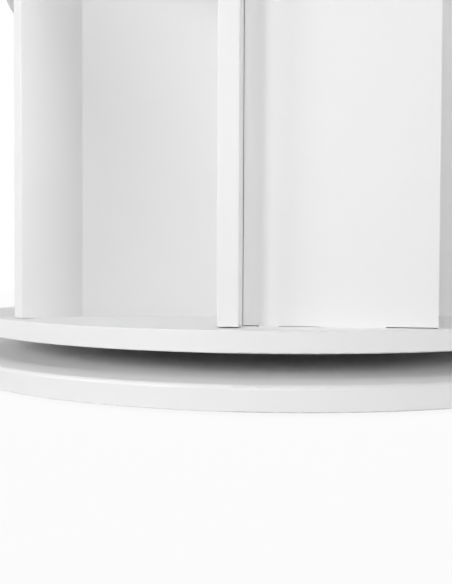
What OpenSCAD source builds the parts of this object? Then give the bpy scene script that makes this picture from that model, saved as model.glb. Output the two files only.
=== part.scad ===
// Rotating pantry cabinet: a round tower of white boards on a turntable bearing.
// Plan of one third, repeated three times round the axis:
// a radial side panel, an open shelf compartment in front of a slanted back panel,
// a divider, and a flat front panel before a pocket compartment entered past the panel's free edge.
// The origin is on the spin axis at floor level. The front faces -Y and +Z is up.

/* [Discs] */
// Radius of the turning base disc and of the top disc
disc_r = 300; // [290:1:330]
// How far the standing plinth disc reaches past the turning discs
plinth_ledge = 25; // [10:1:50]
// Thickness of the standing plinth disc
plinth_t = 18; // [15:0.5:25]
// Edge radius of the plinth's upper rim
plinth_round = 3; // [1:0.5:5]
// Edge radius of the disc rims
disc_round = 1; // [0.5:0.25:3]
// Clear gap between the plinth and the turning base disc
gap_h = 18; // [17:0.5:24]

/* [Boards] */
// Thickness of every board and disc in the turning tower
board_t = 16; // [14:0.5:18]
// Radius of the banded edges that show
edge_round = 1; // [0.5:0.25:2]
// Number of storage tiers, one above the other
tiers = 4; // [3:1:4]
// Clear height of one tier
tier_h = 318; // [240:1:380]

/* [Plan] */
// Angle between a side panel and the divider on its right
side_angle = 45; // [43:0.5:47]
// Distance from the disc's rim to a side panel's front edge
side_inset = 15; // [10:1:20]
// Distance from the disc's rim to a divider's front edge
divider_inset = 19; // [10:1:24]
// How far the front panel stands back from the divider's front edge
front_setback = 24; // [16:1:30]
// Distance from the disc's rim to the front panel's free edge
front_inset = 6; // [3:0.5:12]
// Depth of the open compartment along the side panel
side_depth = 57; // [50:1:62]
// Depth of the open compartment along the divider
divider_depth = 155; // [146:1:158]
// Depth of the pocket compartment behind the front panel
pocket_depth = 115; // [106:1:117]
// How far the side panels and dividers run on behind the backs that meet them
board_overrun = 8; // [4:0.5:10]

/* [Shelves] */
// Distance from the disc's rim to the open shelves' curved front edge
shelf_inset = 22; // [20:1:35]
// Play between a loose shelf and the pin collars beside it
shelf_play = 0.3; // [0.2:0.05:0.5]
// Radius of a shelf pin
pin_r = 2.5; // [2:0.25:3]
// Length of a shelf pin on each side of the board face
pin_l = 7; // [5:0.5:7.5]
// Radius of a shelf pin's collar
pin_collar_r = 4; // [3.5:0.25:5]
// Thickness of a shelf pin's collar
pin_collar_t = 0.5; // [0.4:0.05:0.6]
// Distance from a shelf's corner to the pin of an open shelf
pin_inset = 15; // [12:0.5:16]
// How much further in the pins of a pocket shelf stand, clear of those behind them
pin_stagger = 7; // [6.5:0.5:9]
// Radial play of a pin or screw in its hole
hole_play = 0.05; // [0.02:0.01:0.1]

/* [Bearing] */
// Radius of the bearing's lower plate
lower_plate_r = 135; // [128:1:145]
// Radius of the bearing's upper plate
upper_plate_r = 116; // [112:1:118]
// Thickness of the bearing plates
plate_t = 4; // [3:0.5:5]
// Radius of the circle on which the balls run
race_r = 100; // [96:1:102]
// Radius of one ball
ball_r = 5; // [4:0.25:6]
// Number of balls
balls = 20; // [12:1:24]
// Width of the raised ball race
race_w = 20; // [14:1:22]
// Gap between a ball and its race
race_play = 0.05; // [0.02:0.01:0.1]
// Thickness of the ball cage
cage_t = 2; // [1:0.25:3]
// Gap between the cage and the raised races above and below it
cage_gap = 2; // [1.5:0.25:2.5]
// Radius of the hole in the middle of the cage
cage_hole_r = 50; // [30:1:60]
// Play between a ball and its pocket in the cage
pocket_play = 0.1; // [0.05:0.01:0.2]

/* [Centre bolt] */
// Radius of the centre bolt's shank
bolt_r = 6; // [5:0.25:7]
// Radius of the bolt's hexagon head, across its corners
bolt_head_r = 11; // [10:0.5:12]
// Height of the bolt's head
bolt_head_h = 7; // [5:0.5:8]
// Room round the bolt's head in its counterbore
counterbore_play = 2; // [1:0.25:4]
// How far the bolt's head lies sunk above the plinth's underside
bolt_head_sink = 1; // [0.5:0.25:3]
// Radial running play between the bolt and the collar it turns in
bolt_play = 0.05; // [0.02:0.01:0.1]
// Wall of the upper plate's collar
collar_wall = 4; // [3:0.25:6]
// Gap between the base disc and the washer that holds it down
washer_gap = 0.3; // [0.2:0.05:0.5]
// Radius of that washer
washer_r = 18; // [16:0.5:24]
// Thickness of that washer
washer_t = 3; // [2:0.25:4]
// Height of the lock nut
nut_h = 10; // [8:0.5:12]
// Length of thread that stands out of the lock nut
bolt_end = 3; // [1:0.5:6]

/* [Screws and pads] */
// Radius of a panel screw's shank
screw_r = 3.5; // [2.5:0.25:3.5]
// Radius of a panel screw's head
screw_head_r = 5; // [4.5:0.25:5.5]
// Height of a panel screw's head
screw_head_h = 4; // [3:0.5:5]
// Length of a panel screw, head included
screw_l = 50; // [40:1:60]
// Distance from a board's free end to its first screw
screw_inset = 20; // [15:1:25]
// Distance from a board's inner end to its inner screw
screw_inner_inset = 32; // [30:1:36]
// Radius of a cover cap on the top disc
cap_r = 6.5; // [6:0.25:8]
// Thickness of a cover cap
cap_t = 0.8; // [0.5:0.1:1.5]
// Number of screws in each bearing plate
plate_screws = 6; // [4:1:8]
// Radius of the lower plate's screw circle
lower_screw_circle = 125; // [122:1:127]
// Radius of the upper plate's screw circle
upper_screw_circle = 80; // [74:1:82]
// Radius of a plate screw's shank
plate_screw_r = 2.5; // [2:0.25:3]
// Radius of a plate screw's head
plate_screw_head_r = 4.5; // [4:0.25:5]
// Height of a plate screw's head
plate_screw_head_h = 2.5; // [2:0.25:3]
// Depth of a lower plate screw in the plinth
plate_screw_depth = 13; // [10:0.5:14]
// Solid metal left under the point of an upper plate screw
plate_screw_floor = 0.5; // [0.25:0.25:1.5]
// Number of felt pads under the plinth
pads = 8; // [6:1:12]
// Radius of a felt pad
pad_r = 20; // [15:1:25]
// Thickness of a felt pad
pad_t = 3; // [2:0.5:5]
// Distance from the plinth's rim to a pad's centre
pad_inset = 40; // [30:1:60]

/* [Hidden] */
$fn = 48;
THIRDS = [1, 2, 3];
LEVELS = [for (l = [1 : tiers - 1]) l];

// Colours
WHITE = [0.93, 0.93, 0.93];
STEEL = [0.62, 0.64, 0.66];
BRIGHT = [0.8, 0.81, 0.83];
FELT = [0.32, 0.31, 0.3];

// Heights, from the floor up
plinth_z = pad_t;
plinth_top = plinth_z + plinth_t;
base_z = plinth_top + gap_h;
floor_z = base_z + board_t;
pitch_z = tier_h + board_t;
tower_h = tiers * tier_h + (tiers - 1) * board_t;
top_z = floor_z + tower_h;
top_top = top_z + board_t;
ball_z = plinth_top + gap_h / 2;
collar_r = bolt_r + bolt_play + collar_wall;

// Radii of the discs and of the boards' edges
plinth_r = disc_r + plinth_ledge;
pad_circle = plinth_r - pad_inset;
shelf_r = disc_r - shelf_inset;
side_front_r = disc_r - side_inset;
divider_front = disc_r - divider_inset;

// Clearance of a cut past the face it starts from
cut = 1;

// A circle that reaches past the tower
far_r = 2 * disc_r;

// Turn from one third of the plan to the next
third_turn = 360 / len(THIRDS);

// Plan vectors: outward along a board at angle a to the left of the front, and to its right
function out(a) = [-sin(a), -cos(a)];
function side(a) = [cos(a), -sin(a)];
function unit(v) = v / norm(v);
function left_of(v) = [-v[1], v[0]];
function cross2(u, v) = u[0] * v[1] - u[1] * v[0];
// Where the line through p along u meets the line through q along v
function meet(p, u, q, v) = p + u * cross2(q - p, v) / cross2(u, v);

// The side panel on a compartment's left and the next one round, as seen from the front
next_angle = side_angle - third_turn;
side_u = out(side_angle);
side_face = side(side_angle) * board_t / 2;
next_u = out(next_angle);
next_face = -side(next_angle) * board_t / 2;

// The divider's left face is at -board_t and its right face at 0
front_y = -(divider_front - front_setback);
front_inner_y = front_y + board_t;
front_w = sqrt(pow(disc_r - front_inset, 2) - pow(front_y, 2));

// Back panel: its face runs from the side panel to the divider
back_p = side_u * (side_front_r - side_depth) + side_face;
back_q = [-board_t, divider_depth - divider_front];
back_u = unit(back_q - back_p);
back_n = left_of(back_u);
back_rear_p = meet(back_p + back_n * board_t, back_u, back_p, side_u);
back_rear_q = meet(back_p + back_n * board_t, back_u, back_q, [0, 1]);

// Pocket back: its face runs from the divider to the next side panel
pocket_q = [0, front_inner_y + pocket_depth];
pocket_p = next_u * (side_front_r - side_depth) + next_face;
pocket_u = unit(pocket_p - pocket_q);
pocket_n = left_of(pocket_u);
pocket_rear_p = meet(pocket_q + pocket_n * board_t, pocket_u, next_face, next_u);
pocket_rear_q = meet(pocket_q + pocket_n * board_t, pocket_u, pocket_q, [0, 1]);

// Inner ends of the side panels and dividers
side_inner_r = min(back_rear_p * side_u, pocket_rear_p * next_u) - board_overrun;
divider_inner = -max(back_rear_q[1], pocket_rear_q[1]) - board_overrun;

// Open shelf: corners inside the boards, with play, and points beyond its curved front
shelf_gap = pin_collar_t + shelf_play;
shelf_side_o = side_face + side(side_angle) * shelf_gap;
shelf_side_p = meet(back_p - back_n * shelf_gap, back_u, shelf_side_o, side_u);
shelf_divider_x = -board_t - shelf_gap;
shelf_divider_p = meet(back_p - back_n * shelf_gap, back_u, [shelf_divider_x, 0], [0, 1]);

// Pocket shelf: the same, between the front panel, the divider and the next side panel
pocket_side_o = next_face - side(next_angle) * shelf_gap;
pocket_side_p = meet(pocket_q - pocket_n * shelf_gap, pocket_u, pocket_side_o, next_u);
pocket_divider_p = meet(pocket_q - pocket_n * shelf_gap, pocket_u, [shelf_gap, 0], [0, 1]);
pocket_lip_y = front_inner_y + shelf_gap;

// Plan places of the panel screws, board by board
back_mid_n = back_n * board_t / 2;
pocket_mid_n = pocket_n * board_t / 2;
side_screw_at = [for (r = [side_inner_r + screw_inner_inset, side_front_r - screw_inset]) side_u * r];
divider_screws_y = [divider_inner + screw_inner_inset, divider_front - screw_inset];
divider_screw_at = [for (y = divider_screws_y) [-board_t / 2, -y]];
front_screw_at = [for (x = [screw_inner_inset, front_w - screw_inset]) [x, front_y + board_t / 2]];
back_screw_at = [
  back_p + back_mid_n + back_u * screw_inner_inset,
  back_q + back_mid_n - back_u * screw_inner_inset
];
pocket_screw_at = [
  (pocket_p + pocket_q) / 2 + pocket_mid_n,
  pocket_p + pocket_mid_n - pocket_u * screw_inner_inset
];
screw_at = concat(side_screw_at, divider_screw_at, front_screw_at, back_screw_at, pocket_screw_at);

// Heights of the shelves' undersides, and of their pins
function shelf_z(level) = floor_z + level * pitch_z - board_t;
function pin_z(level) = shelf_z(level) - pin_r;

// Distances along the boards at which the shelf pins stand
pocket_pin_inset = pin_inset + pin_stagger;
open_side_pins = [side_front_r - side_depth + pin_inset, side_front_r - pin_inset];
open_divider_pins = [divider_front - divider_depth + pin_inset, divider_front - pin_inset];
pocket_divider_pins = [pocket_pin_inset - pocket_q[1], -front_inner_y - pocket_pin_inset];
pocket_side_pins = [for (r = open_side_pins) r - pin_stagger];

// Two-dimensional shapes
// A board end on: width w from x = 0, from a rounded front at y = 0 back to y = l
module bar(w, l) {
  translate([0, edge_round]) square([w, l - edge_round]);
  translate([edge_round, 0]) square([w - 2 * edge_round, l]);
  translate([edge_round, edge_round]) circle(edge_round);
  translate([w - edge_round, edge_round]) circle(edge_round);
}

// Half section of a disc of radius r and thickness t, with its rims rounded
module disc_section(r, t, low, high) {
  square([r - max(low, high), t]);
  translate([0, low]) square([r, t - low - high]);
  square([r - low, t / 2]);
  translate([0, t / 2]) square([r - high, t / 2]);
  translate([r - low, low]) circle(low);
  translate([r - high, t - high]) circle(high);
}

// Shared three-dimensional shapes
module third(q) {
  rotate([0, 0, third_turn * (q - 1)]) children();
}

module at_screws() {
  for (q = THIRDS, p = screw_at) {
    third(q) translate([p[0], p[1], 0]) children();
  }
}

// A headed screw with its head's flat face at z = 0 and its point upwards.
// With play it is the hole for that screw, and its head runs out past the face.
module screw(head, head_h, shank, l, play) {
  past = play > 0 ? cut : 0;
  translate([0, 0, -past]) cylinder(r = head + play, h = head_h + past);
  translate([0, 0, head_h / 2]) cylinder(r = shank + play, h = l - head_h / 2 + play);
}

module panel_screw(play) {
  screw(screw_head_r, screw_head_h, screw_r, screw_l, play);
}

module lower_panel_screws(play) {
  at_screws() translate([0, 0, base_z]) panel_screw(play);
}

module upper_panel_screws(play) {
  at_screws() translate([0, 0, top_top]) mirror([0, 0, 1]) panel_screw(play);
}

// A shelf pin on a board face at z = 0, half in the board and half out, along Z
module pin(play) {
  translate([0, 0, -pin_l - play]) cylinder(r = pin_r + play, h = 2 * pin_l + play);
  if (play == 0) cylinder(r = pin_collar_r, h = pin_collar_t);
}

// One pin at plan point p, pointing along the plan angle a
module pin_at(p, a, z, play) {
  translate([p[0], p[1], z]) rotate([0, 0, a]) rotate([0, 90, 0]) pin(play);
}

// The pins of one third, on one face of a board
module side_pins(play) {
  for (l = LEVELS, r = open_side_pins) {
    p = side_u * r + side_face;
    pin_at(p, -side_angle, pin_z(l), play);
  }
}

module next_side_pins(play) {
  for (l = LEVELS, r = pocket_side_pins) {
    p = next_u * r + next_face;
    pin_at(p, 180 - next_angle, pin_z(l), play);
  }
}

module divider_left_pins(play) {
  for (l = LEVELS, y = open_divider_pins) pin_at([-board_t, -y], 180, pin_z(l), play);
}

module divider_right_pins(play) {
  for (l = LEVELS, y = pocket_divider_pins) pin_at([0, -y], 0, pin_z(l), play);
}

// Ball race groove, as the ring of space that a ball sweeps
module race_groove() {
  translate([0, 0, ball_z]) rotate_extrude() translate([race_r, 0]) circle(ball_r + race_play);
}

module on_circle(count, r) {
  for (i = [0 : count - 1]) rotate([0, 0, 360 * i / count]) translate([r, 0, 0]) children();
}

// The plinth, the bearing and the centre bolt
module felt_pads() {
  color(FELT) on_circle(pads, pad_circle) cylinder(r = pad_r, h = pad_t);
}

module lower_plate_screw_set(play) {
  l = plate_screw_head_h + plate_t + plate_screw_depth;
  on_circle(plate_screws, lower_screw_circle) {
    translate([0, 0, plinth_top + plate_t + plate_screw_head_h]) mirror([0, 0, 1])
      screw(plate_screw_head_r, plate_screw_head_h, plate_screw_r, l, play);
  }
}

module plinth_disc() {
  low_z = plinth_z - cut;
  color(WHITE) difference() {
    translate([0, 0, plinth_z]) rotate_extrude($fn = 180)
      disc_section(plinth_r, plinth_t, disc_round, plinth_round);
    translate([0, 0, low_z])
      cylinder(r = bolt_head_r + counterbore_play, h = bolt_head_h + bolt_head_sink + cut);
    translate([0, 0, low_z]) cylinder(r = bolt_r + bolt_play, h = plinth_t + 2 * cut);
    lower_plate_screw_set(hole_play);
  }
}

// A raised ring between heights low and high, on which the balls run
module race_ring(low, high) {
  difference() {
    translate([0, 0, low]) cylinder(r = race_r + race_w / 2, h = high - low, $fn = 120);
    translate([0, 0, low - cut]) cylinder(r = race_r - race_w / 2, h = high - low + 2 * cut, $fn = 120);
  }
}

module lower_bearing_plate() {
  color(STEEL) difference() {
    union() {
      translate([0, 0, plinth_top]) cylinder(r = lower_plate_r, h = plate_t, $fn = 120);
      race_ring(plinth_top, ball_z - cage_t / 2 - cage_gap);
    }
    translate([0, 0, plinth_top - cut]) cylinder(r = bolt_r + bolt_play, h = plate_t + 2 * cut);
    race_groove();
    lower_plate_screw_set(hole_play);
  }
}

module lower_plate_screws() {
  color(BRIGHT) lower_plate_screw_set(0);
}

module centre_bolt() {
  head_low = plinth_z + bolt_head_sink;
  end_z = floor_z + washer_gap + washer_t + nut_h + bolt_end;
  color(BRIGHT) {
    translate([0, 0, head_low]) cylinder(r = bolt_head_r, h = bolt_head_h, $fn = 6);
    translate([0, 0, head_low]) cylinder(r = bolt_r, h = end_z - head_low);
  }
}

module washer_shape(z, r, h, sides) {
  difference() {
    translate([0, 0, z]) cylinder(r = r, h = h, $fn = sides);
    translate([0, 0, z - cut]) cylinder(r = bolt_r + bolt_play, h = h + 2 * cut);
  }
}

module retaining_washer() {
  color(BRIGHT) washer_shape(floor_z + washer_gap, washer_r, washer_t, 60);
}

module lock_nut() {
  color(BRIGHT) washer_shape(floor_z + washer_gap + washer_t, bolt_head_r, nut_h, 6);
}

module ball_cage() {
  color(BRIGHT) difference() {
    translate([0, 0, ball_z - cage_t / 2]) cylinder(r = race_r + race_w / 2, h = cage_t, $fn = 120);
    translate([0, 0, ball_z - cage_t]) cylinder(r = cage_hole_r, h = 2 * cage_t, $fn = 90);
    on_circle(balls, race_r) translate([0, 0, ball_z - cage_t])
      cylinder(r = ball_r + pocket_play, h = 2 * cage_t);
  }
}

module bearing_balls() {
  color(BRIGHT) on_circle(balls, race_r) translate([0, 0, ball_z]) sphere(r = ball_r, $fn = 32);
}

module upper_plate_screw_set(play) {
  l = board_t + plate_t - plate_screw_floor;
  on_circle(plate_screws, upper_screw_circle) translate([0, 0, floor_z]) mirror([0, 0, 1])
    screw(plate_screw_head_r, plate_screw_head_h, plate_screw_r, l, play);
}

// The collar is the bush in which the centre bolt turns
module upper_bearing_plate() {
  low_z = base_z - plate_t;
  collar_h = board_t + plate_t;
  color(STEEL) difference() {
    union() {
      translate([0, 0, low_z]) cylinder(r = upper_plate_r, h = plate_t, $fn = 120);
      race_ring(ball_z + cage_t / 2 + cage_gap, base_z);
      translate([0, 0, low_z]) cylinder(r = collar_r, h = collar_h);
    }
    translate([0, 0, low_z - cut]) cylinder(r = bolt_r + bolt_play, h = collar_h + 2 * cut);
    race_groove();
    upper_plate_screw_set(hole_play);
  }
}

module upper_plate_screws() {
  color(BRIGHT) upper_plate_screw_set(0);
}

// The turning tower
module turning_disc(z) {
  translate([0, 0, z]) rotate_extrude($fn = 180) disc_section(disc_r, board_t, disc_round, disc_round);
}

module base_disc() {
  color(WHITE) difference() {
    turning_disc(base_z);
    translate([0, 0, base_z - cut]) cylinder(r = collar_r + hole_play, h = board_t + 2 * cut);
    upper_plate_screw_set(hole_play);
    lower_panel_screws(hole_play);
  }
}

module top_disc() {
  color(WHITE) difference() {
    turning_disc(top_z);
    upper_panel_screws(hole_play);
  }
}

// A full-height board of third q with its screw holes cut
module upright(q) {
  color(WHITE) difference() {
    third(q) translate([0, 0, floor_z]) linear_extrude(tower_h) children();
    lower_panel_screws(hole_play);
    upper_panel_screws(hole_play);
  }
}

module side_panel(q) {
  l = side_front_r - side_inner_r;
  difference() {
    upright(q) rotate(-side_angle) translate([-board_t / 2, -side_front_r]) bar(board_t, l);
    third(q) side_pins(hole_play);
    third(q - 1) next_side_pins(hole_play);
  }
}

module divider(q) {
  l = divider_front - divider_inner;
  difference() {
    upright(q) translate([-board_t, -divider_front]) bar(board_t, l);
    third(q) divider_left_pins(hole_play);
    third(q) divider_right_pins(hole_play);
  }
}

module front_panel(q) {
  upright(q) translate([front_w, front_y]) rotate(90) bar(board_t, front_w);
}

module back_panel(q) {
  upright(q) polygon([back_p, back_q, back_rear_q, back_rear_p]);
}

module pocket_back(q) {
  upright(q) polygon([pocket_q, pocket_p, pocket_rear_p, pocket_rear_q]);
}

module shelf(l, q) {
  color(WHITE) third(q) translate([0, 0, shelf_z(l)]) linear_extrude(board_t) intersection() {
    circle(shelf_r, $fn = 180);
    polygon([shelf_side_p, shelf_side_o + side_u * far_r, [shelf_divider_x, -far_r], shelf_divider_p]);
  }
}

module pocket_shelf(l, q) {
  color(WHITE) third(q) translate([0, 0, shelf_z(l)]) linear_extrude(board_t) intersection() {
    circle(shelf_r, $fn = 180);
    polygon([
      [shelf_gap, pocket_lip_y],
      [far_r, pocket_lip_y],
      pocket_side_o + next_u * far_r,
      pocket_side_p,
      pocket_divider_p
    ]);
  }
}

// Small hardware of the tower
module shelf_pins() {
  color(BRIGHT) for (q = THIRDS) third(q) {
    side_pins(0);
    next_side_pins(0);
    divider_left_pins(0);
    divider_right_pins(0);
  }
}

module panel_screws() {
  color(BRIGHT) {
    lower_panel_screws(0);
    upper_panel_screws(0);
  }
}

module screw_caps() {
  color(WHITE) at_screws() translate([0, 0, top_top]) rotate_extrude() {
    square([cap_r - cap_t, cap_t]);
    intersection() {
      translate([cap_r - cap_t, 0]) circle(cap_t);
      translate([cap_r - cap_t, 0]) square(cap_t);
    }
  }
}

felt_pads();
plinth_disc();
lower_bearing_plate();
lower_plate_screws();
centre_bolt();
retaining_washer();
lock_nut();
ball_cage();
bearing_balls();
upper_bearing_plate();
upper_plate_screws();
base_disc();
top_disc();
for (q = THIRDS) {
  side_panel(q);
  divider(q);
  front_panel(q);
  back_panel(q);
  pocket_back(q);
}
for (l = LEVELS, q = THIRDS) {
  shelf(l, q);
  pocket_shelf(l, q);
}
shelf_pins();
panel_screws();
screw_caps();
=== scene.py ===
"""Rotating pantry cabinet: its boards, discs, bearing and hardware are finished and set on a pale stage."""

import math

import bmesh
import bpy
from mathutils import Matrix, Vector
from mathutils.geometry import convex_hull_2d


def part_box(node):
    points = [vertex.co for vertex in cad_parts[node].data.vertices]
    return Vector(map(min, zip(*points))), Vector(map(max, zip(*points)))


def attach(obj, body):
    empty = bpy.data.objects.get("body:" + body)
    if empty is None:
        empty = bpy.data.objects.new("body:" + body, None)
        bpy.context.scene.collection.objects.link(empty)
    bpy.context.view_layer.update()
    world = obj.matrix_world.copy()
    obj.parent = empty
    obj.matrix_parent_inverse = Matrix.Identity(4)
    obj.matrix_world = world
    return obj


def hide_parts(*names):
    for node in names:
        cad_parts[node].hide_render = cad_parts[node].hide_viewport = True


bl_info = {
    "name": "Rotating Pantry Cabinet",
    "version": (1, 0, 0),
    "blender": (4, 5, 0),
    "location": "View3D > Sidebar > Pantry Cabinet",
    "description": "Finishes the boards and hardware of a rotating pantry cabinet and sets it on a stage",
    "category": "Object",
}

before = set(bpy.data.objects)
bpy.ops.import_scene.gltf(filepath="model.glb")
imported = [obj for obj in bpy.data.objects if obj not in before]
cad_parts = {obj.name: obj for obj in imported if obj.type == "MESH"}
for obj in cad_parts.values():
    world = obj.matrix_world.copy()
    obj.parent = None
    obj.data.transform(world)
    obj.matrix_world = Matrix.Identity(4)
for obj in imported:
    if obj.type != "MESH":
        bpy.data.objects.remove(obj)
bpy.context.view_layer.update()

MM = 0.001
# The plan repeats in thirds round the spin axis, and loose shelves lie at these levels
THIRDS = (1, 2, 3)
LEVELS = (1, 2, 3)
# The body that every board made here turns with
TURNING = "tower"


# ---- Sizes and colours that a user would change ----


class BoardLook(bpy.types.PropertyGroup):
    """The white melamine boards, their edge bands and their raw core."""

    colour: bpy.props.FloatVectorProperty(
        name="Board colour", description="Colour of the melamine faces", subtype="COLOR",
        default=(0.9, 0.9, 0.902)
    )
    roughness: bpy.props.FloatProperty(
        name="Roughness", description="Roughness of the satin faces", subtype="FACTOR", default=0.42,
        min=0, max=1
    )
    peel_size: bpy.props.FloatProperty(
        name="Peel size", description="Width of one pearl of the pressed surface", unit="LENGTH",
        default=1.6 * MM, precision=4
    )
    peel_depth: bpy.props.FloatProperty(
        name="Peel depth", description="Depth of the pressed surface", unit="LENGTH",
        default=0.012 * MM, precision=5
    )
    drift_size: bpy.props.FloatProperty(
        name="Drift size", description="Width of the soft patches of tone", unit="LENGTH", default=90 * MM
    )
    drift: bpy.props.FloatProperty(
        name="Drift", description="Share by which the tone drifts over a face", subtype="FACTOR",
        default=0.024, min=0, max=1
    )
    rub_size: bpy.props.FloatProperty(
        name="Rub size", description="Width of one rubbed patch of a face", unit="LENGTH", default=30 * MM
    )
    rub: bpy.props.FloatProperty(
        name="Rub", description="How far the faces' roughness varies", subtype="FACTOR", default=0.08,
        min=0, max=1
    )
    band_colour: bpy.props.FloatVectorProperty(
        name="Edge band colour", description="Colour of the banded edges", subtype="COLOR",
        default=(0.9, 0.9, 0.9)
    )
    band_roughness: bpy.props.FloatProperty(
        name="Band roughness", description="Least roughness of the edge bands", subtype="FACTOR",
        default=0.33, min=0, max=1
    )
    band_grain: bpy.props.FloatProperty(
        name="Band grain", description="How far the bands' roughness varies", subtype="FACTOR",
        default=0.06, min=0, max=1
    )
    band_drift: bpy.props.FloatProperty(
        name="Band drift", description="Share by which the tone drifts over a band", subtype="FACTOR",
        default=0.012, min=0, max=1
    )
    core_colour: bpy.props.FloatVectorProperty(
        name="Core colour", description="Colour of the raw chipboard inside a board", subtype="COLOR",
        default=(0.55, 0.42, 0.27)
    )
    core_shade: bpy.props.FloatProperty(
        name="Core shade", description="Share of the core's colour that the darkest chip keeps",
        subtype="FACTOR", default=0.55, min=0, max=1
    )
    core_roughness: bpy.props.FloatProperty(
        name="Core roughness", description="Roughness of the raw chipboard", subtype="FACTOR",
        default=0.85, min=0, max=1
    )
    chip_size: bpy.props.FloatProperty(
        name="Chip size", description="Width of one chip in the core", unit="LENGTH", default=2.2 * MM,
        precision=4
    )
    chip_depth: bpy.props.FloatProperty(
        name="Chip depth", description="Depth of the core's relief", unit="LENGTH", default=0.2 * MM,
        precision=5
    )
    rim_round: bpy.props.FloatProperty(
        name="Rim rounding", description="Radius of the shelves' banded rims", unit="LENGTH",
        default=0.6 * MM, precision=4
    )
    joint_width: bpy.props.FloatProperty(
        name="Joint width", description="Width of the slot between a front panel and its divider",
        unit="LENGTH", default=0.5 * MM, precision=5
    )
    joint_depth: bpy.props.FloatProperty(
        name="Joint depth", description="Depth of that slot", unit="LENGTH", default=2.5 * MM, precision=4
    )


class MetalLook(bpy.types.PropertyGroup):
    """The bearing plates, cage, balls, bolt, washer, nut, screws and pins."""

    zinc_colour: bpy.props.FloatVectorProperty(
        name="Zinc colour", description="Colour of the galvanised bearing plates", subtype="COLOR",
        default=(0.55, 0.57, 0.59)
    )
    zinc_shade: bpy.props.FloatProperty(
        name="Zinc shade", description="Share of the zinc's colour that the dullest crystal keeps",
        subtype="FACTOR", default=0.8, min=0, max=1
    )
    zinc_roughness: bpy.props.FloatProperty(
        name="Zinc roughness", description="Least roughness of the zinc", subtype="FACTOR", default=0.3,
        min=0, max=1
    )
    spangle_size: bpy.props.FloatProperty(
        name="Spangle size", description="Width of one zinc crystal", unit="LENGTH", default=9 * MM
    )
    spangle: bpy.props.FloatProperty(
        name="Spangle", description="How far the roughness varies between crystals", subtype="FACTOR",
        default=0.12, min=0, max=1
    )
    scratch_size: bpy.props.FloatProperty(
        name="Scratch size", description="Width of the zinc's fine scratches", unit="LENGTH",
        default=0.75 * MM, precision=5
    )
    scratch: bpy.props.FloatProperty(
        name="Scratch", description="How far the scratches vary the zinc's roughness", subtype="FACTOR",
        default=0.1, min=0, max=1
    )
    scratch_depth: bpy.props.FloatProperty(
        name="Scratch depth", description="Depth of the zinc's scratches", unit="LENGTH",
        default=0.02 * MM, precision=5
    )
    bright_colour: bpy.props.FloatVectorProperty(
        name="Bright colour", description="Colour of the plated screws, balls and pins", subtype="COLOR",
        default=(0.72, 0.72, 0.71)
    )
    bright_shade: bpy.props.FloatProperty(
        name="Bright shade", description="Share of the plating's colour that its dullest patch keeps",
        subtype="FACTOR", default=0.85, min=0, max=1
    )
    bright_roughness: bpy.props.FloatProperty(
        name="Bright roughness", description="Least roughness of the plating", subtype="FACTOR",
        default=0.18, min=0, max=1
    )
    patch_size: bpy.props.FloatProperty(
        name="Patch size", description="Width of one patch of tone on the plating", unit="LENGTH",
        default=6 * MM
    )
    rub_size: bpy.props.FloatProperty(
        name="Rub size", description="Width of the plating's rub marks", unit="LENGTH", default=0.6 * MM,
        precision=5
    )
    rub: bpy.props.FloatProperty(
        name="Rub", description="How far the rub marks vary the plating's roughness", subtype="FACTOR",
        default=0.16, min=0, max=1
    )
    rub_depth: bpy.props.FloatProperty(
        name="Rub depth", description="Depth of the plating's rub marks", unit="LENGTH",
        default=0.01 * MM, precision=5
    )


class SoftLook(bpy.types.PropertyGroup):
    """The felt pads and the plastic cover caps."""

    felt_colour: bpy.props.FloatVectorProperty(
        name="Felt colour", description="Colour of the felt pads", subtype="COLOR",
        default=(0.26, 0.25, 0.24)
    )
    felt_roughness: bpy.props.FloatProperty(
        name="Felt roughness", description="Roughness of the felt", subtype="FACTOR", default=0.95,
        min=0, max=1
    )
    fibre_size: bpy.props.FloatProperty(
        name="Fibre size", description="Length of the felt's fibres", unit="LENGTH", default=0.8 * MM,
        precision=5
    )
    fibre_gain: bpy.props.FloatProperty(
        name="Fibre gain", description="How much paler than the felt its loose fibres are", default=1.6,
        min=1
    )
    fibre_depth: bpy.props.FloatProperty(
        name="Fibre depth", description="Depth of the felt's nap", unit="LENGTH", default=0.3 * MM,
        precision=5
    )
    cap_colour: bpy.props.FloatVectorProperty(
        name="Cap colour", description="Colour of the cover caps", subtype="COLOR",
        default=(0.84, 0.835, 0.82)
    )
    cap_shade: bpy.props.FloatProperty(
        name="Cap shade", description="Share of the caps' colour that their darkest patch keeps",
        subtype="FACTOR", default=0.97, min=0, max=1
    )
    cap_roughness: bpy.props.FloatProperty(
        name="Cap roughness", description="Least roughness of the caps", subtype="FACTOR", default=0.46,
        min=0, max=1
    )
    cap_patch_size: bpy.props.FloatProperty(
        name="Cap patch size", description="Width of one patch of tone on a cap", unit="LENGTH",
        default=4 * MM, precision=4
    )
    cap_grain_size: bpy.props.FloatProperty(
        name="Cap grain size", description="Width of one grain of the moulded surface", unit="LENGTH",
        default=0.5 * MM, precision=5
    )
    cap_grain: bpy.props.FloatProperty(
        name="Cap grain", description="How far the grain varies the caps' roughness", subtype="FACTOR",
        default=0.08, min=0, max=1
    )
    cap_grain_depth: bpy.props.FloatProperty(
        name="Cap grain depth", description="Depth of the moulded grain", unit="LENGTH",
        default=0.02 * MM, precision=5
    )


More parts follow.
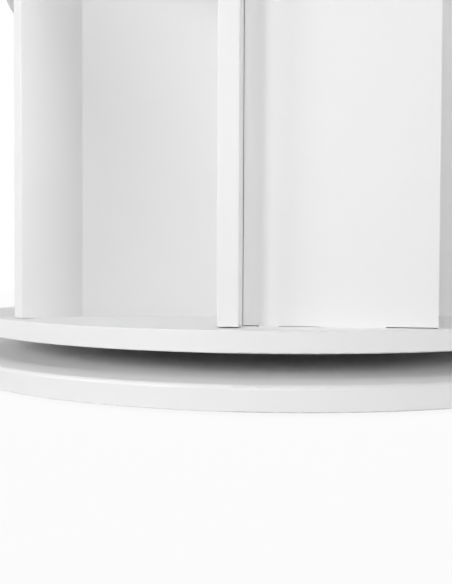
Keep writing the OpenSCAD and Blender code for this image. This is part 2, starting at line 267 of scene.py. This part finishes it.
class StageLook(bpy.types.PropertyGroup):
    """Floor, lamps and camera."""

    ambient: bpy.props.FloatProperty(
        name="Ambient", description="Strength of the even light from all round", default=0.08, min=0
    )
    key: bpy.props.FloatProperty(
        name="Key", description="Power of the soft box at the front left", unit="POWER", default=11
    )
    side: bpy.props.FloatProperty(
        name="Side", description="Power of the soft box at the left", unit="POWER", default=10.5
    )
    front: bpy.props.FloatProperty(
        name="Front", description="Power of the small soft box in front", unit="POWER", default=3.5
    )
    fill: bpy.props.FloatProperty(
        name="Fill", description="Power of the soft box at the front right", unit="POWER", default=11
    )
    overhead: bpy.props.FloatProperty(
        name="Overhead", description="Power of the soft box above the cabinet", unit="POWER", default=58
    )
    back: bpy.props.FloatProperty(
        name="Back", description="Power of the soft box behind the cabinet", unit="POWER", default=34
    )
    aim_height: bpy.props.FloatProperty(
        name="Aim height", description="Height on the cabinet's axis at which the lamps look",
        unit="LENGTH", default=0.4
    )
    floor_colour: bpy.props.FloatVectorProperty(
        name="Floor colour", description="Colour of the floor", subtype="COLOR", default=(0.9, 0.9, 0.9)
    )
    floor_reach: bpy.props.FloatProperty(
        name="Floor reach", description="Distance from the cabinet to the floor's sides", unit="LENGTH",
        default=40.0
    )
    floor_glow: bpy.props.FloatProperty(
        name="Floor glow", description="Share of plain white that the camera sees in the floor",
        subtype="FACTOR", default=0.91, min=0, max=1
    )
    fade_start: bpy.props.FloatProperty(
        name="Fade start", description="Distance at which the floor starts to fade to white",
        unit="LENGTH", default=0.9
    )
    fade_end: bpy.props.FloatProperty(
        name="Fade end", description="Distance from which the floor is plain white", unit="LENGTH",
        default=4.0
    )
    lens: bpy.props.FloatProperty(
        name="Lens", description="Focal length of the camera", unit="CAMERA", default=44.54
    )
    clip_start: bpy.props.FloatProperty(
        name="Clip start", description="Nearest distance that the camera sees", unit="LENGTH", default=0.01
    )
    camera_place: bpy.props.FloatVectorProperty(
        name="Camera place", description="Where the camera stands", subtype="TRANSLATION",
        default=(0.0619, -0.7936, 0.0937)
    )
    camera_turn: bpy.props.FloatProperty(
        name="Camera turn", description="Turn of the camera to the left of straight ahead",
        unit="ROTATION", default=math.radians(7.9)
    )
    camera_dip: bpy.props.FloatProperty(
        name="Camera dip", description="How far the camera looks down", unit="ROTATION",
        default=math.radians(1.41)
    )
    camera_roll: bpy.props.FloatProperty(
        name="Camera roll", description="Roll of the camera about its own line of sight",
        unit="ROTATION", default=math.radians(0.25)
    )


# ---- Shader maths ----


class Value:
    """An output socket that takes part in Python arithmetic. Each operator adds a Math node."""

    def __init__(self, shader, socket):
        self.shader = shader
        self.socket = socket

    def __add__(self, other):
        return self.shader.math("ADD", self, other)

    def __sub__(self, other):
        return self.shader.math("SUBTRACT", self, other)

    def __rsub__(self, other):
        return self.shader.math("SUBTRACT", other, self)

    def __mul__(self, other):
        return self.shader.math("MULTIPLY", self, other)

    __radd__ = __add__
    __rmul__ = __mul__

    def also(self, name):
        """Another output of the same node."""
        return Value(self.shader, self.socket.node.outputs[name])

    def most(self, other):
        """The greater of the two."""
        return self.shader.math("MAXIMUM", self, other)

    def over(self, low, high):
        """0 below low, 1 above high, and a smooth step between them."""
        sockets = {"Value": self, "From Min": low, "From Max": high}
        return self.shader.node("ShaderNodeMapRange", {"interpolation_type": "SMOOTHSTEP"}, sockets)


class Shader:
    """The node tree of a material or of the world."""

    def __init__(self, tree):
        self.tree = tree
        tree.nodes.clear()

    def node(self, kind, settings=None, sockets=None, out=0):
        """Adds a node, applies its settings, sets or links its sockets and returns one of its outputs."""
        made = self.tree.nodes.new(kind)
        for name, value in (settings or {}).items():
            setattr(made, name, value)
        for name, value in (sockets or {}).items():
            if isinstance(value, Value):
                self.tree.links.new(value.socket, made.inputs[name])
            else:
                made.inputs[name].default_value = value
        return Value(self, made.outputs[out]) if made.outputs else None

    def math(self, operation, *values):
        """A Math node on values and plain numbers."""
        return self.node("ShaderNodeMath", {"operation": operation}, dict(enumerate(values)))

    def place(self):
        """Where a point lies on the object, in metres."""
        return self.node("ShaderNodeTexCoord", out="Object")

    def noise(self, size, detail=2.0, rough=0.5, squeeze=0.0):
        """Clouds of the given width in metres, from 0 to 1."""
        sockets = {
            "Vector": self.place(), "Scale": 1 / size, "Detail": detail, "Roughness": rough,
            "Distortion": squeeze
        }
        return self.node("ShaderNodeTexNoise", sockets=sockets, out="Fac")

    def cells(self, size):
        """Cells of the given width in metres, each with a value of its own from 0 to 1."""
        sockets = {"Vector": self.place(), "Scale": 1 / size}
        colour = self.node("ShaderNodeTexVoronoi", sockets=sockets, out="Color")
        return self.node("ShaderNodeSeparateXYZ", sockets={"Vector": colour}, out="X")

    def blend(self, factor, first, second):
        """A colour between first and second."""
        sockets = {0: factor, 6: solid(first), 7: solid(second)}
        return self.node("ShaderNodeMix", {"data_type": "RGBA"}, sockets, out=2)

    def bump(self, height, depth):
        """The normal of a relief. Height runs from 0 to 1, and depth is in metres."""
        return self.node("ShaderNodeBump", sockets={"Distance": depth, "Height": height}, out="Normal")

    def surface(self, **sockets):
        """Ends the tree in a Principled shader. Socket names have _ for a space."""
        named = {name.replace("_", " "): solid(value) for name, value in sockets.items()}
        self.output(self.node("ShaderNodeBsdfPrincipled", sockets=named))

    def output(self, shader, kind="ShaderNodeOutputMaterial"):
        """Ends the tree in an output node."""
        self.node(kind, sockets={"Surface": shader})


def solid(colour):
    """A three-part colour as the four-part one that sockets take. Anything else stays as it is."""
    if isinstance(colour, (int, float, Value)) or len(colour) != 3:
        return colour
    return (*colour, 1.0)


def toned(colour, share):
    """A colour with each of its parts times share."""
    return tuple(part * share for part in colour)


def new_material(name):
    """A material, and the shader in which its nodes are made."""
    material = bpy.data.materials.new(name)
    material.use_nodes = True
    return material, Shader(material.node_tree)


# ---- Finishes ----


# The middle of a noise's values
NOISE_MIDDLE = 0.5


def white_melamine(look):
    """Satin white laminate: a fine pressed pearl, and a tone that drifts very slightly."""
    material, shader = new_material("white_melamine")
    drift = shader.noise(look.drift_size, detail=3.0)
    pearl = shader.noise(look.peel_size, detail=1.0)
    rub = shader.noise(look.rub_size, detail=4.0, rough=0.7)
    shader.surface(
        Base_Color=shader.blend(drift, look.colour, toned(look.colour, 1 - look.drift)),
        Roughness=look.roughness + (rub - NOISE_MIDDLE) * look.rub,
        Normal=shader.bump(pearl, look.peel_depth),
    )
    return material


def edge_band(look):
    """Smooth plastic strip, a little glossier than the faces, with a grain half as deep as theirs."""
    material, shader = new_material("edge_band")
    grain = shader.noise(look.peel_size)
    drift = shader.noise(look.drift_size)
    shader.surface(
        Base_Color=shader.blend(drift, look.band_colour, toned(look.band_colour, 1 - look.band_drift)),
        Roughness=look.band_roughness + grain * look.band_grain,
        Normal=shader.bump(grain, look.peel_depth / 2),
    )
    return material


def chipboard_core(look):
    """Raw pressed chips, seen at the unbanded ends."""
    material, shader = new_material("chipboard_core")
    chip = shader.cells(look.chip_size)
    shader.surface(
        Base_Color=shader.blend(chip, look.core_colour, toned(look.core_colour, look.core_shade)),
        Roughness=look.core_roughness,
        Normal=shader.bump(chip, look.chip_depth),
    )
    return material


def galvanised_zinc(look):
    """Galvanised sheet with a soft spangle and fine scratches."""
    material, shader = new_material("galvanised_zinc")
    crystal = shader.cells(look.spangle_size)
    scratch = shader.noise(look.scratch_size, detail=4.0)
    shader.surface(
        Base_Color=shader.blend(crystal, look.zinc_colour, toned(look.zinc_colour, look.zinc_shade)),
        Metallic=1.0,
        Roughness=look.zinc_roughness + crystal * look.spangle + scratch * look.scratch,
        Normal=shader.bump(scratch, look.scratch_depth),
    )
    return material


def bright_plated_steel(look):
    """Bright plated steel with fine rub marks."""
    material, shader = new_material("bright_plated_steel")
    rub = shader.noise(look.rub_size, detail=4.0, rough=0.7)
    patch = shader.noise(look.patch_size)
    shader.surface(
        Base_Color=shader.blend(patch, look.bright_colour, toned(look.bright_colour, look.bright_shade)),
        Metallic=1.0,
        Roughness=look.bright_roughness + rub * look.rub,
        Normal=shader.bump(rub, look.rub_depth),
    )
    return material


def grey_felt(look):
    """Pressed grey felt, with loose fibres in a paler tone."""
    material, shader = new_material("grey_felt")
    fibres = shader.noise(look.fibre_size, detail=6.0, rough=0.8, squeeze=2.0)
    shader.surface(
        Base_Color=shader.blend(fibres, look.felt_colour, toned(look.felt_colour, look.fibre_gain)),
        Roughness=look.felt_roughness,
        Normal=shader.bump(fibres, look.fibre_depth),
    )
    return material


def moulded_plastic(look):
    """Matt plastic, as the cover caps are moulded in."""
    material, shader = new_material("moulded_plastic")
    grain = shader.noise(look.cap_grain_size, detail=3.0)
    patch = shader.noise(look.cap_patch_size)
    shader.surface(
        Base_Color=shader.blend(patch, look.cap_colour, toned(look.cap_colour, look.cap_shade)),
        Roughness=look.cap_roughness + grain * look.cap_grain,
        Normal=shader.bump(grain, look.cap_grain_depth),
    )
    return material


def finish(make, look):
    """The material that carries its maker's name, made once. No material of the frame has such a name."""
    return bpy.data.materials.get(make.__name__) or make(look)


def board_finishes(look):
    """The laminate, the edge band and the raw core, in the order of LAMINATE, BAND and CORE."""
    return [finish(make, look) for make in (white_melamine, edge_band, chipboard_core)]


# ---- Which finish a face gets ----


LAMINATE, BAND, CORE = range(3)
# A face is square to a direction when the cosine between its normal and the direction is over this
SQUARE = 0.99
# A face looks towards a direction when that cosine is over this
TOWARDS = 0.05
# A face is upright when its normal rises less than this
UPRIGHT_RISE = 0.5
# A disc's face whose middle is nearer than this to the rim is banded
DISC_BAND = 4 * MM


def is_level(face):
    """True for a flat top or underside."""
    return abs(face.normal.z) > SQUARE


def upright_finish(front, across):
    """Faces square to across are laminate, upright ones that look to the front are banded, others core."""

    def finish_of(face):
        if abs(face.normal.dot(across)) > SQUARE:
            return LAMINATE
        is_upright = abs(face.normal.z) < UPRIGHT_RISE
        return BAND if is_upright and face.normal.dot(front) > TOWARDS else CORE

    return finish_of


def shelf_finish(face):
    """A shelf's top and underside are laminate, and its rims are banded."""
    return LAMINATE if is_level(face) else BAND


def disc_finish(reach):
    """A disc's rim is banded, its top and underside are laminate, and its bores are core."""

    def finish_of(face):
        if face.center.to_2d().length > reach - DISC_BAND:
            return BAND
        return LAMINATE if is_level(face) else CORE

    return finish_of


# ---- Boards ----


FORWARD = Vector((0, -1, 0))
RIGHT = Vector((1, 0, 0))
UP = Vector((0, 0, 1))
# How far a cutter starts outside the board that it cuts
CUT = 1 * MM
# The shadow gap at the foot of a divider's front edge: how far it runs back, and its height
DIVIDER_GAP = (14 * MM, 1.0 * MM)
# The same at the foot of a side panel's front edge
SIDE_GAP = (12 * MM, 0.4 * MM)
# The gaps at a front panel's foot: start and end along the panel from its divider, and height
PANEL_GAPS = (
    (1 * MM, 12.4 * MM, 0.6 * MM),
    (26.6 * MM, 57.5 * MM, 0.35 * MM),
    (105.2 * MM, 142 * MM, 0.7 * MM),
)
# How far those gaps run back: more than the panel's thickness
PANEL_GAP_REACH = 20 * MM
# Two faces closer than this to flat are shaded as one curve
SMOOTH_ANGLE = math.radians(30)
# Number of facets across a shelf's rounded rim, and the bevel profile that is round
RIM_FACETS = 3
ROUND = 0.5
# Two points closer than this in height are level with each other
LEVEL_PLAY = 0.001 * MM


def third_turn(third):
    """The turn about the spin axis that takes third 1 to another third."""
    return Matrix.Rotation(math.tau / len(THIRDS) * (third - 1), 4, "Z")


def plan_outline(node):
    """The outline of an upright or shelf in plan, as points counted anticlockwise, from its node."""
    points = [v.co.to_2d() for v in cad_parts[node].data.vertices]
    return [points[i] for i in convex_hull_2d(points)]


def long_side(outline):
    """The direction of an outline's longest side."""
    sides = [end - start for start, end in zip(outline, outline[1:] + outline[:1])]
    return max(sides, key=lambda side: side.length).normalized().to_3d()


class Plan:
    """Places and directions of third 1, read from the frame's boards."""

    def __init__(self):
        divider_low, divider_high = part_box("divider_1")
        side_outline = plan_outline("side_panel_1")
        self.floor = divider_low.z
        self.top = divider_high.z
        self.thickness = divider_high.x - divider_low.x
        self.divider_front = divider_low.y
        self.panel_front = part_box("front_panel_1")[0].y
        self.radial = long_side(side_outline)
        if self.radial.dot(FORWARD) < 0:
            self.radial.negate()
        self.side_front = max(point.to_3d().dot(self.radial) for point in side_outline)
        # The turn that takes a board that runs forward to the side panel's direction
        self.side_turn = Matrix.Rotation(math.atan2(self.radial.x, -self.radial.y), 4, "Z")


PLAN = Plan()


def prism(outline, low, high):
    """The mesh of an upright solid over a plan outline."""
    mesh = bmesh.new()
    foot = mesh.faces.new([mesh.verts.new((x, y, low)) for x, y in outline])
    raised = bmesh.ops.extrude_face_region(mesh, geom=[foot])["geom"]
    top = [v for v in raised if isinstance(v, bmesh.types.BMVert)]
    bmesh.ops.translate(mesh, verts=top, vec=(0, 0, high - low))
    bmesh.ops.recalc_face_normals(mesh, faces=mesh.faces)
    mesh.normal_update()
    return mesh


def to_object(name, mesh):
    """An object that holds a finished mesh."""
    data = bpy.data.meshes.new(name)
    mesh.to_mesh(data)
    mesh.free()
    made = bpy.data.objects.new(name, data)
    bpy.context.scene.collection.objects.link(made)
    return made


def block(x, y, z, turn):
    """A cutter that fills x, y and z, each given by its two ends, and is then turned."""
    corners = [(x[0], y[0]), (x[1], y[0]), (x[1], y[1]), (x[0], y[1])]
    made = to_object("cutter", prism(corners, *z))
    made.data.transform(turn)
    return made


def foot_gap(x, y, height, turn):
    """A cutter for a gap of the given height under a board."""
    return block(x, y, (PLAN.floor - CUT, PLAN.floor + height), turn)


def carve(piece, cutters):
    """Takes the cutters away from a piece and removes them."""
    if not cutters:
        return
    for cutter in cutters:
        cut = piece.modifiers.new("cut", "BOOLEAN")
        cut.operation = "DIFFERENCE"
        cut.solver = "EXACT"
        cut.object = cutter
    bpy.context.view_layer.update()
    carved = bpy.data.meshes.new_from_object(piece.evaluated_get(bpy.context.evaluated_depsgraph_get()))
    piece.modifiers.clear()
    piece.data = carved
    carved.name = piece.name
    for cutter in cutters:
        bpy.data.objects.remove(cutter)


def dress(piece, node, look, finish_of):
    """Gives each face its finish, smooths the curves and sets the piece in place of its node."""
    for material in board_finishes(look):
        piece.data.materials.append(material)
    for face in piece.data.polygons:
        face.material_index = finish_of(face)
        face.use_smooth = True
    piece.data.set_sharp_from_angle(angle=SMOOTH_ANGLE)
    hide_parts(node)
    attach(piece, TURNING)


def side_panel_gap(turn):
    """The gap at the foot of a side panel's front edge."""
    reach, height = SIDE_GAP
    width = (-PLAN.thickness, PLAN.thickness)
    depth = (-PLAN.side_front - CUT, -PLAN.side_front + reach)
    return foot_gap(width, depth, height, turn @ PLAN.side_turn)


def divider_gap(turn):
    """The gap at the foot of a divider's front edge."""
    reach, height = DIVIDER_GAP
    width = (-PLAN.thickness - CUT, CUT)
    depth = (PLAN.divider_front - CUT, PLAN.divider_front + reach)
    return foot_gap(width, depth, height, turn)


def divider_slot(turn, look):
    """The slot where a front panel meets its divider."""
    width = (-CUT, look.joint_width)
    depth = (PLAN.panel_front - CUT, PLAN.panel_front + look.joint_depth)
    return block(width, depth, (PLAN.floor - CUT, PLAN.top + CUT), turn)


def front_panel_gaps(turn):
    """The gaps at a front panel's foot."""
    depth = (PLAN.panel_front - CUT, PLAN.panel_front + PANEL_GAP_REACH)
    return [foot_gap((start, end), depth, height, turn) for start, end, height in PANEL_GAPS]


def cutters_for(family, turn, look):
    """What is cut out of an upright. The backs are left whole."""
    if family == "side_panel":
        return [side_panel_gap(turn)]
    if family == "divider":
        return [divider_gap(turn)]
    if family == "front_panel":
        return [divider_slot(turn, look), *front_panel_gaps(turn)]
    return []


# Where the banded edge of each family of uprights looks in third 1
BANDED_EDGES = {
    "side_panel": PLAN.radial,
    "divider": FORWARD,
    "front_panel": RIGHT,
    "back_panel": FORWARD,
    "pocket_back": FORWARD,
}


def build_upright(family, third, look):
    """An upright over its node's outline, with its gaps and slot."""
    node = f"{family}_{third}"
    turn = third_turn(third)
    outline = plan_outline(node)
    piece = to_object(f"{node}.board", prism(outline, PLAN.floor, PLAN.top))
    carve(piece, cutters_for(family, turn, look))
    across = UP.cross(long_side(outline))
    dress(piece, node, look, upright_finish(turn @ BANDED_EDGES[family], across))


def build_shelf(node, look):
    """A loose shelf with its rims rounded."""
    low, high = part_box(node)
    mesh = prism(plan_outline(node), low.z, high.z)
    rims = [e for e in mesh.edges if abs(e.verts[0].co.z - e.verts[1].co.z) < LEVEL_PLAY]
    bmesh.ops.bevel(
        mesh, geom=rims, offset=look.rim_round, segments=RIM_FACETS, profile=ROUND, affect="EDGES"
    )
    dress(to_object(f"{node}.board", mesh), node, look, shelf_finish)


def finish_node(node, *materials, finish_of=None):
    """Puts materials on a carried-over node, face by face where finish_of says which."""
    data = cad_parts[node].data
    data.materials.clear()
    for material in materials:
        data.materials.append(material)
    for face in data.polygons:
        face.material_index = finish_of(face) if finish_of else 0


# ---- Operators, one for each piece or group of like pieces ----


class PANTRY_OT_uprights(bpy.types.Operator):
    """Builds the side panels, dividers, front panels and backs."""

    bl_idname = "pantry.uprights"
    bl_label = "Uprights"

    def execute(self, context):
        for family in BANDED_EDGES:
            for third in THIRDS:
                build_upright(family, third, context.scene.pantry_boards)
        return {"FINISHED"}


class PANTRY_OT_shelves(bpy.types.Operator):
    """Builds the loose open shelves and pocket shelves."""

    bl_idname = "pantry.shelves"
    bl_label = "Shelves"

    def execute(self, context):
        for kind in ("shelf", "pocket_shelf"):
            for level in LEVELS:
                for third in THIRDS:
                    build_shelf(f"{kind}_{level}_{third}", context.scene.pantry_boards)
        return {"FINISHED"}


class PANTRY_OT_discs(bpy.types.Operator):
    """Finishes the plinth, the base disc and the top disc."""

    bl_idname = "pantry.discs"
    bl_label = "Discs"

    def execute(self, context):
        materials = board_finishes(context.scene.pantry_boards)
        for node in ("plinth_disc", "base_disc", "top_disc"):
            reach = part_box(node)[1].x
            finish_node(node, *materials, finish_of=disc_finish(reach))
        return {"FINISHED"}


class PANTRY_OT_bearing(bpy.types.Operator):
    """Finishes the bearing plates, the ball cage and the balls."""

    bl_idname = "pantry.bearing"
    bl_label = "Bearing"

    def execute(self, context):
        look = context.scene.pantry_metal
        plate = finish(galvanised_zinc, look)
        bright = finish(bright_plated_steel, look)
        for node in ("lower_bearing_plate", "upper_bearing_plate"):
            finish_node(node, plate)
        for node in ("ball_cage", "bearing_balls"):
            finish_node(node, bright)
        return {"FINISHED"}


class PANTRY_OT_hardware(bpy.types.Operator):
    """Finishes the centre bolt, its nut and washer, the screws and the shelf pins."""

    bl_idname = "pantry.hardware"
    bl_label = "Hardware"

    def execute(self, context):
        bright = finish(bright_plated_steel, context.scene.pantry_metal)
        nodes = (
            "centre_bolt", "retaining_washer", "lock_nut", "lower_plate_screws", "upper_plate_screws",
            "panel_screws", "shelf_pins",
        )
        for node in nodes:
            finish_node(node, bright)
        return {"FINISHED"}


class PANTRY_OT_caps_and_pads(bpy.types.Operator):
    """Finishes the cover caps on top and the felt pads below."""

    bl_idname = "pantry.caps_and_pads"
    bl_label = "Caps and pads"

    def execute(self, context):
        look = context.scene.pantry_soft
        finish_node("screw_caps", finish(moulded_plastic, look))
        finish_node("felt_pads", finish(grey_felt, look))
        return {"FINISHED"}


# ---- Stage ----


WHITE = (1.0, 1.0, 1.0, 1.0)


def seen_directly(shader):
    """1 on a ray from the camera, and on one that a mirror or glass sends on."""
    camera = shader.node("ShaderNodeLightPath", out="Is Camera Ray")
    return camera.most(camera.also("Is Glossy Ray")).most(camera.also("Is Transmission Ray"))


def floor_material(look):
    """Matt, mixed with white where it is seen, and all white far from the cabinet."""
    material, shader = new_material("floor")
    matt = shader.node("ShaderNodeBsdfDiffuse", sockets={"Color": solid(look.floor_colour)})
    glow = shader.node("ShaderNodeEmission", sockets={"Color": WHITE, "Strength": 1.0})
    away = shader.node("ShaderNodeVectorMath", {"operation": "LENGTH"}, {0: shader.place()}, out="Value")
    far = away.over(look.fade_start, look.fade_end)
    white = seen_directly(shader) * (look.floor_glow + far * (1 - look.floor_glow))
    shader.output(shader.node("ShaderNodeMixShader", sockets={0: white, 1: matt, 2: glow}))
    return material


def pale_floor(look):
    """A floor that keeps the cabinet's shadow."""
    reach = look.floor_reach
    corners = [(-reach, -reach), (reach, -reach), (reach, reach), (-reach, reach)]
    mesh = bmesh.new()
    mesh.faces.new([mesh.verts.new((x, y, 0)) for x, y in corners])
    floor = to_object("floor", mesh)
    floor.data.materials.append(floor_material(look))


def pale_world(look):
    """White where it is seen, and a weak even light for everything else."""
    world = bpy.data.worlds.new("studio")
    world.use_nodes = True
    bpy.context.scene.world = world
    shader = Shader(world.node_tree)
    seen = seen_directly(shader)
    strength = seen + (1 - seen) * look.ambient
    sky = shader.node("ShaderNodeBackground", sockets={"Color": WHITE, "Strength": strength})
    shader.output(sky, "ShaderNodeOutputWorld")


def soft_box(look, name, azimuth, elevation, distance, width, height):
    """A lamp that looks at the cabinet. In degrees, azimuth 0 is in front and 90 is to the right."""
    turn = math.radians(azimuth)
    rise = math.radians(elevation)
    away = Vector((math.sin(turn) * math.cos(rise), -math.cos(turn) * math.cos(rise), math.sin(rise)))
    lamp = bpy.data.lights.new(name, "AREA")
    lamp.shape = "RECTANGLE"
    lamp.size = width
    lamp.size_y = height
    lamp.energy = getattr(look, name)
    made = bpy.data.objects.new(name, lamp)
    bpy.context.scene.collection.objects.link(made)
    made.location = Vector((0, 0, look.aim_height)) + away * distance
    made.rotation_euler = away.to_track_quat("Z", "Y").to_euler()
    made.visible_camera = False


def place_camera(look):
    """The camera that sees the cabinet's foot as the photograph does."""
    lens = bpy.data.cameras.new("camera")
    lens.lens = look.lens
    lens.clip_start = look.clip_start
    camera = bpy.data.objects.new("camera", lens)
    bpy.context.scene.collection.objects.link(camera)
    place = Matrix.Translation(look.camera_place)
    turn = Matrix.Rotation(look.camera_turn, 4, "Z")
    dip = Matrix.Rotation(math.pi / 2 - look.camera_dip, 4, "X")
    roll = Matrix.Rotation(look.camera_roll, 4, "Z")
    camera.matrix_world = place @ turn @ dip @ roll
    bpy.context.scene.camera = camera


class PANTRY_OT_stage(bpy.types.Operator):
    """Lays the pale floor and sets the lamps, the world and the camera."""

    bl_idname = "pantry.stage"
    bl_label = "Stage"

    def execute(self, context):
        look = context.scene.pantry_stage
        pale_floor(look)
        pale_world(look)
        soft_box(look, "key", azimuth=-32, elevation=7, distance=2.2, width=0.4, height=0.5)
        soft_box(look, "side", azimuth=-57, elevation=9, distance=2.2, width=0.5, height=0.6)
        soft_box(look, "front", azimuth=0, elevation=5, distance=2.2, width=0.6, height=0.4)
        soft_box(look, "fill", azimuth=54, elevation=6, distance=2.2, width=0.6, height=0.4)
        soft_box(look, "overhead", azimuth=10, elevation=68, distance=5.0, width=1.8, height=1.8)
        soft_box(look, "back", azimuth=178, elevation=15, distance=2.4, width=1.6, height=0.8)
        place_camera(look)
        context.scene.view_settings.view_transform = "Standard"
        return {"FINISHED"}


# ---- Panel, registration and the run ----


LOOKS = {
    "pantry_boards": BoardLook,
    "pantry_metal": MetalLook,
    "pantry_soft": SoftLook,
    "pantry_stage": StageLook,
}
STEPS = (
    PANTRY_OT_uprights,
    PANTRY_OT_shelves,
    PANTRY_OT_discs,
    PANTRY_OT_bearing,
    PANTRY_OT_hardware,
    PANTRY_OT_caps_and_pads,
    PANTRY_OT_stage,
)


class PANTRY_PT_panel(bpy.types.Panel):
    """Lists the steps that build the cabinet, and the sizes and colours that they use."""

    bl_label = "Pantry Cabinet"
    bl_space_type = "VIEW_3D"
    bl_region_type = "UI"
    bl_category = "Pantry Cabinet"

    def draw(self, context):
        for step in STEPS:
            self.layout.operator(step.bl_idname)
        for name in LOOKS:
            box = self.layout.box()
            look = getattr(context.scene, name)
            for prop in look.__annotations__:
                box.prop(look, prop)


CLASSES = (*LOOKS.values(), *STEPS, PANTRY_PT_panel)


def register():
    for each in CLASSES:
        bpy.utils.register_class(each)
    for name, group in LOOKS.items():
        setattr(bpy.types.Scene, name, bpy.props.PointerProperty(type=group))


def unregister():
    for name in LOOKS:
        delattr(bpy.types.Scene, name)
    for each in reversed(CLASSES):
        bpy.utils.unregister_class(each)


def main():
    register()
    for step in STEPS:
        group, name = step.bl_idname.split(".")
        getattr(getattr(bpy.ops, group), name)()


if __name__ == "__main__":
    main()
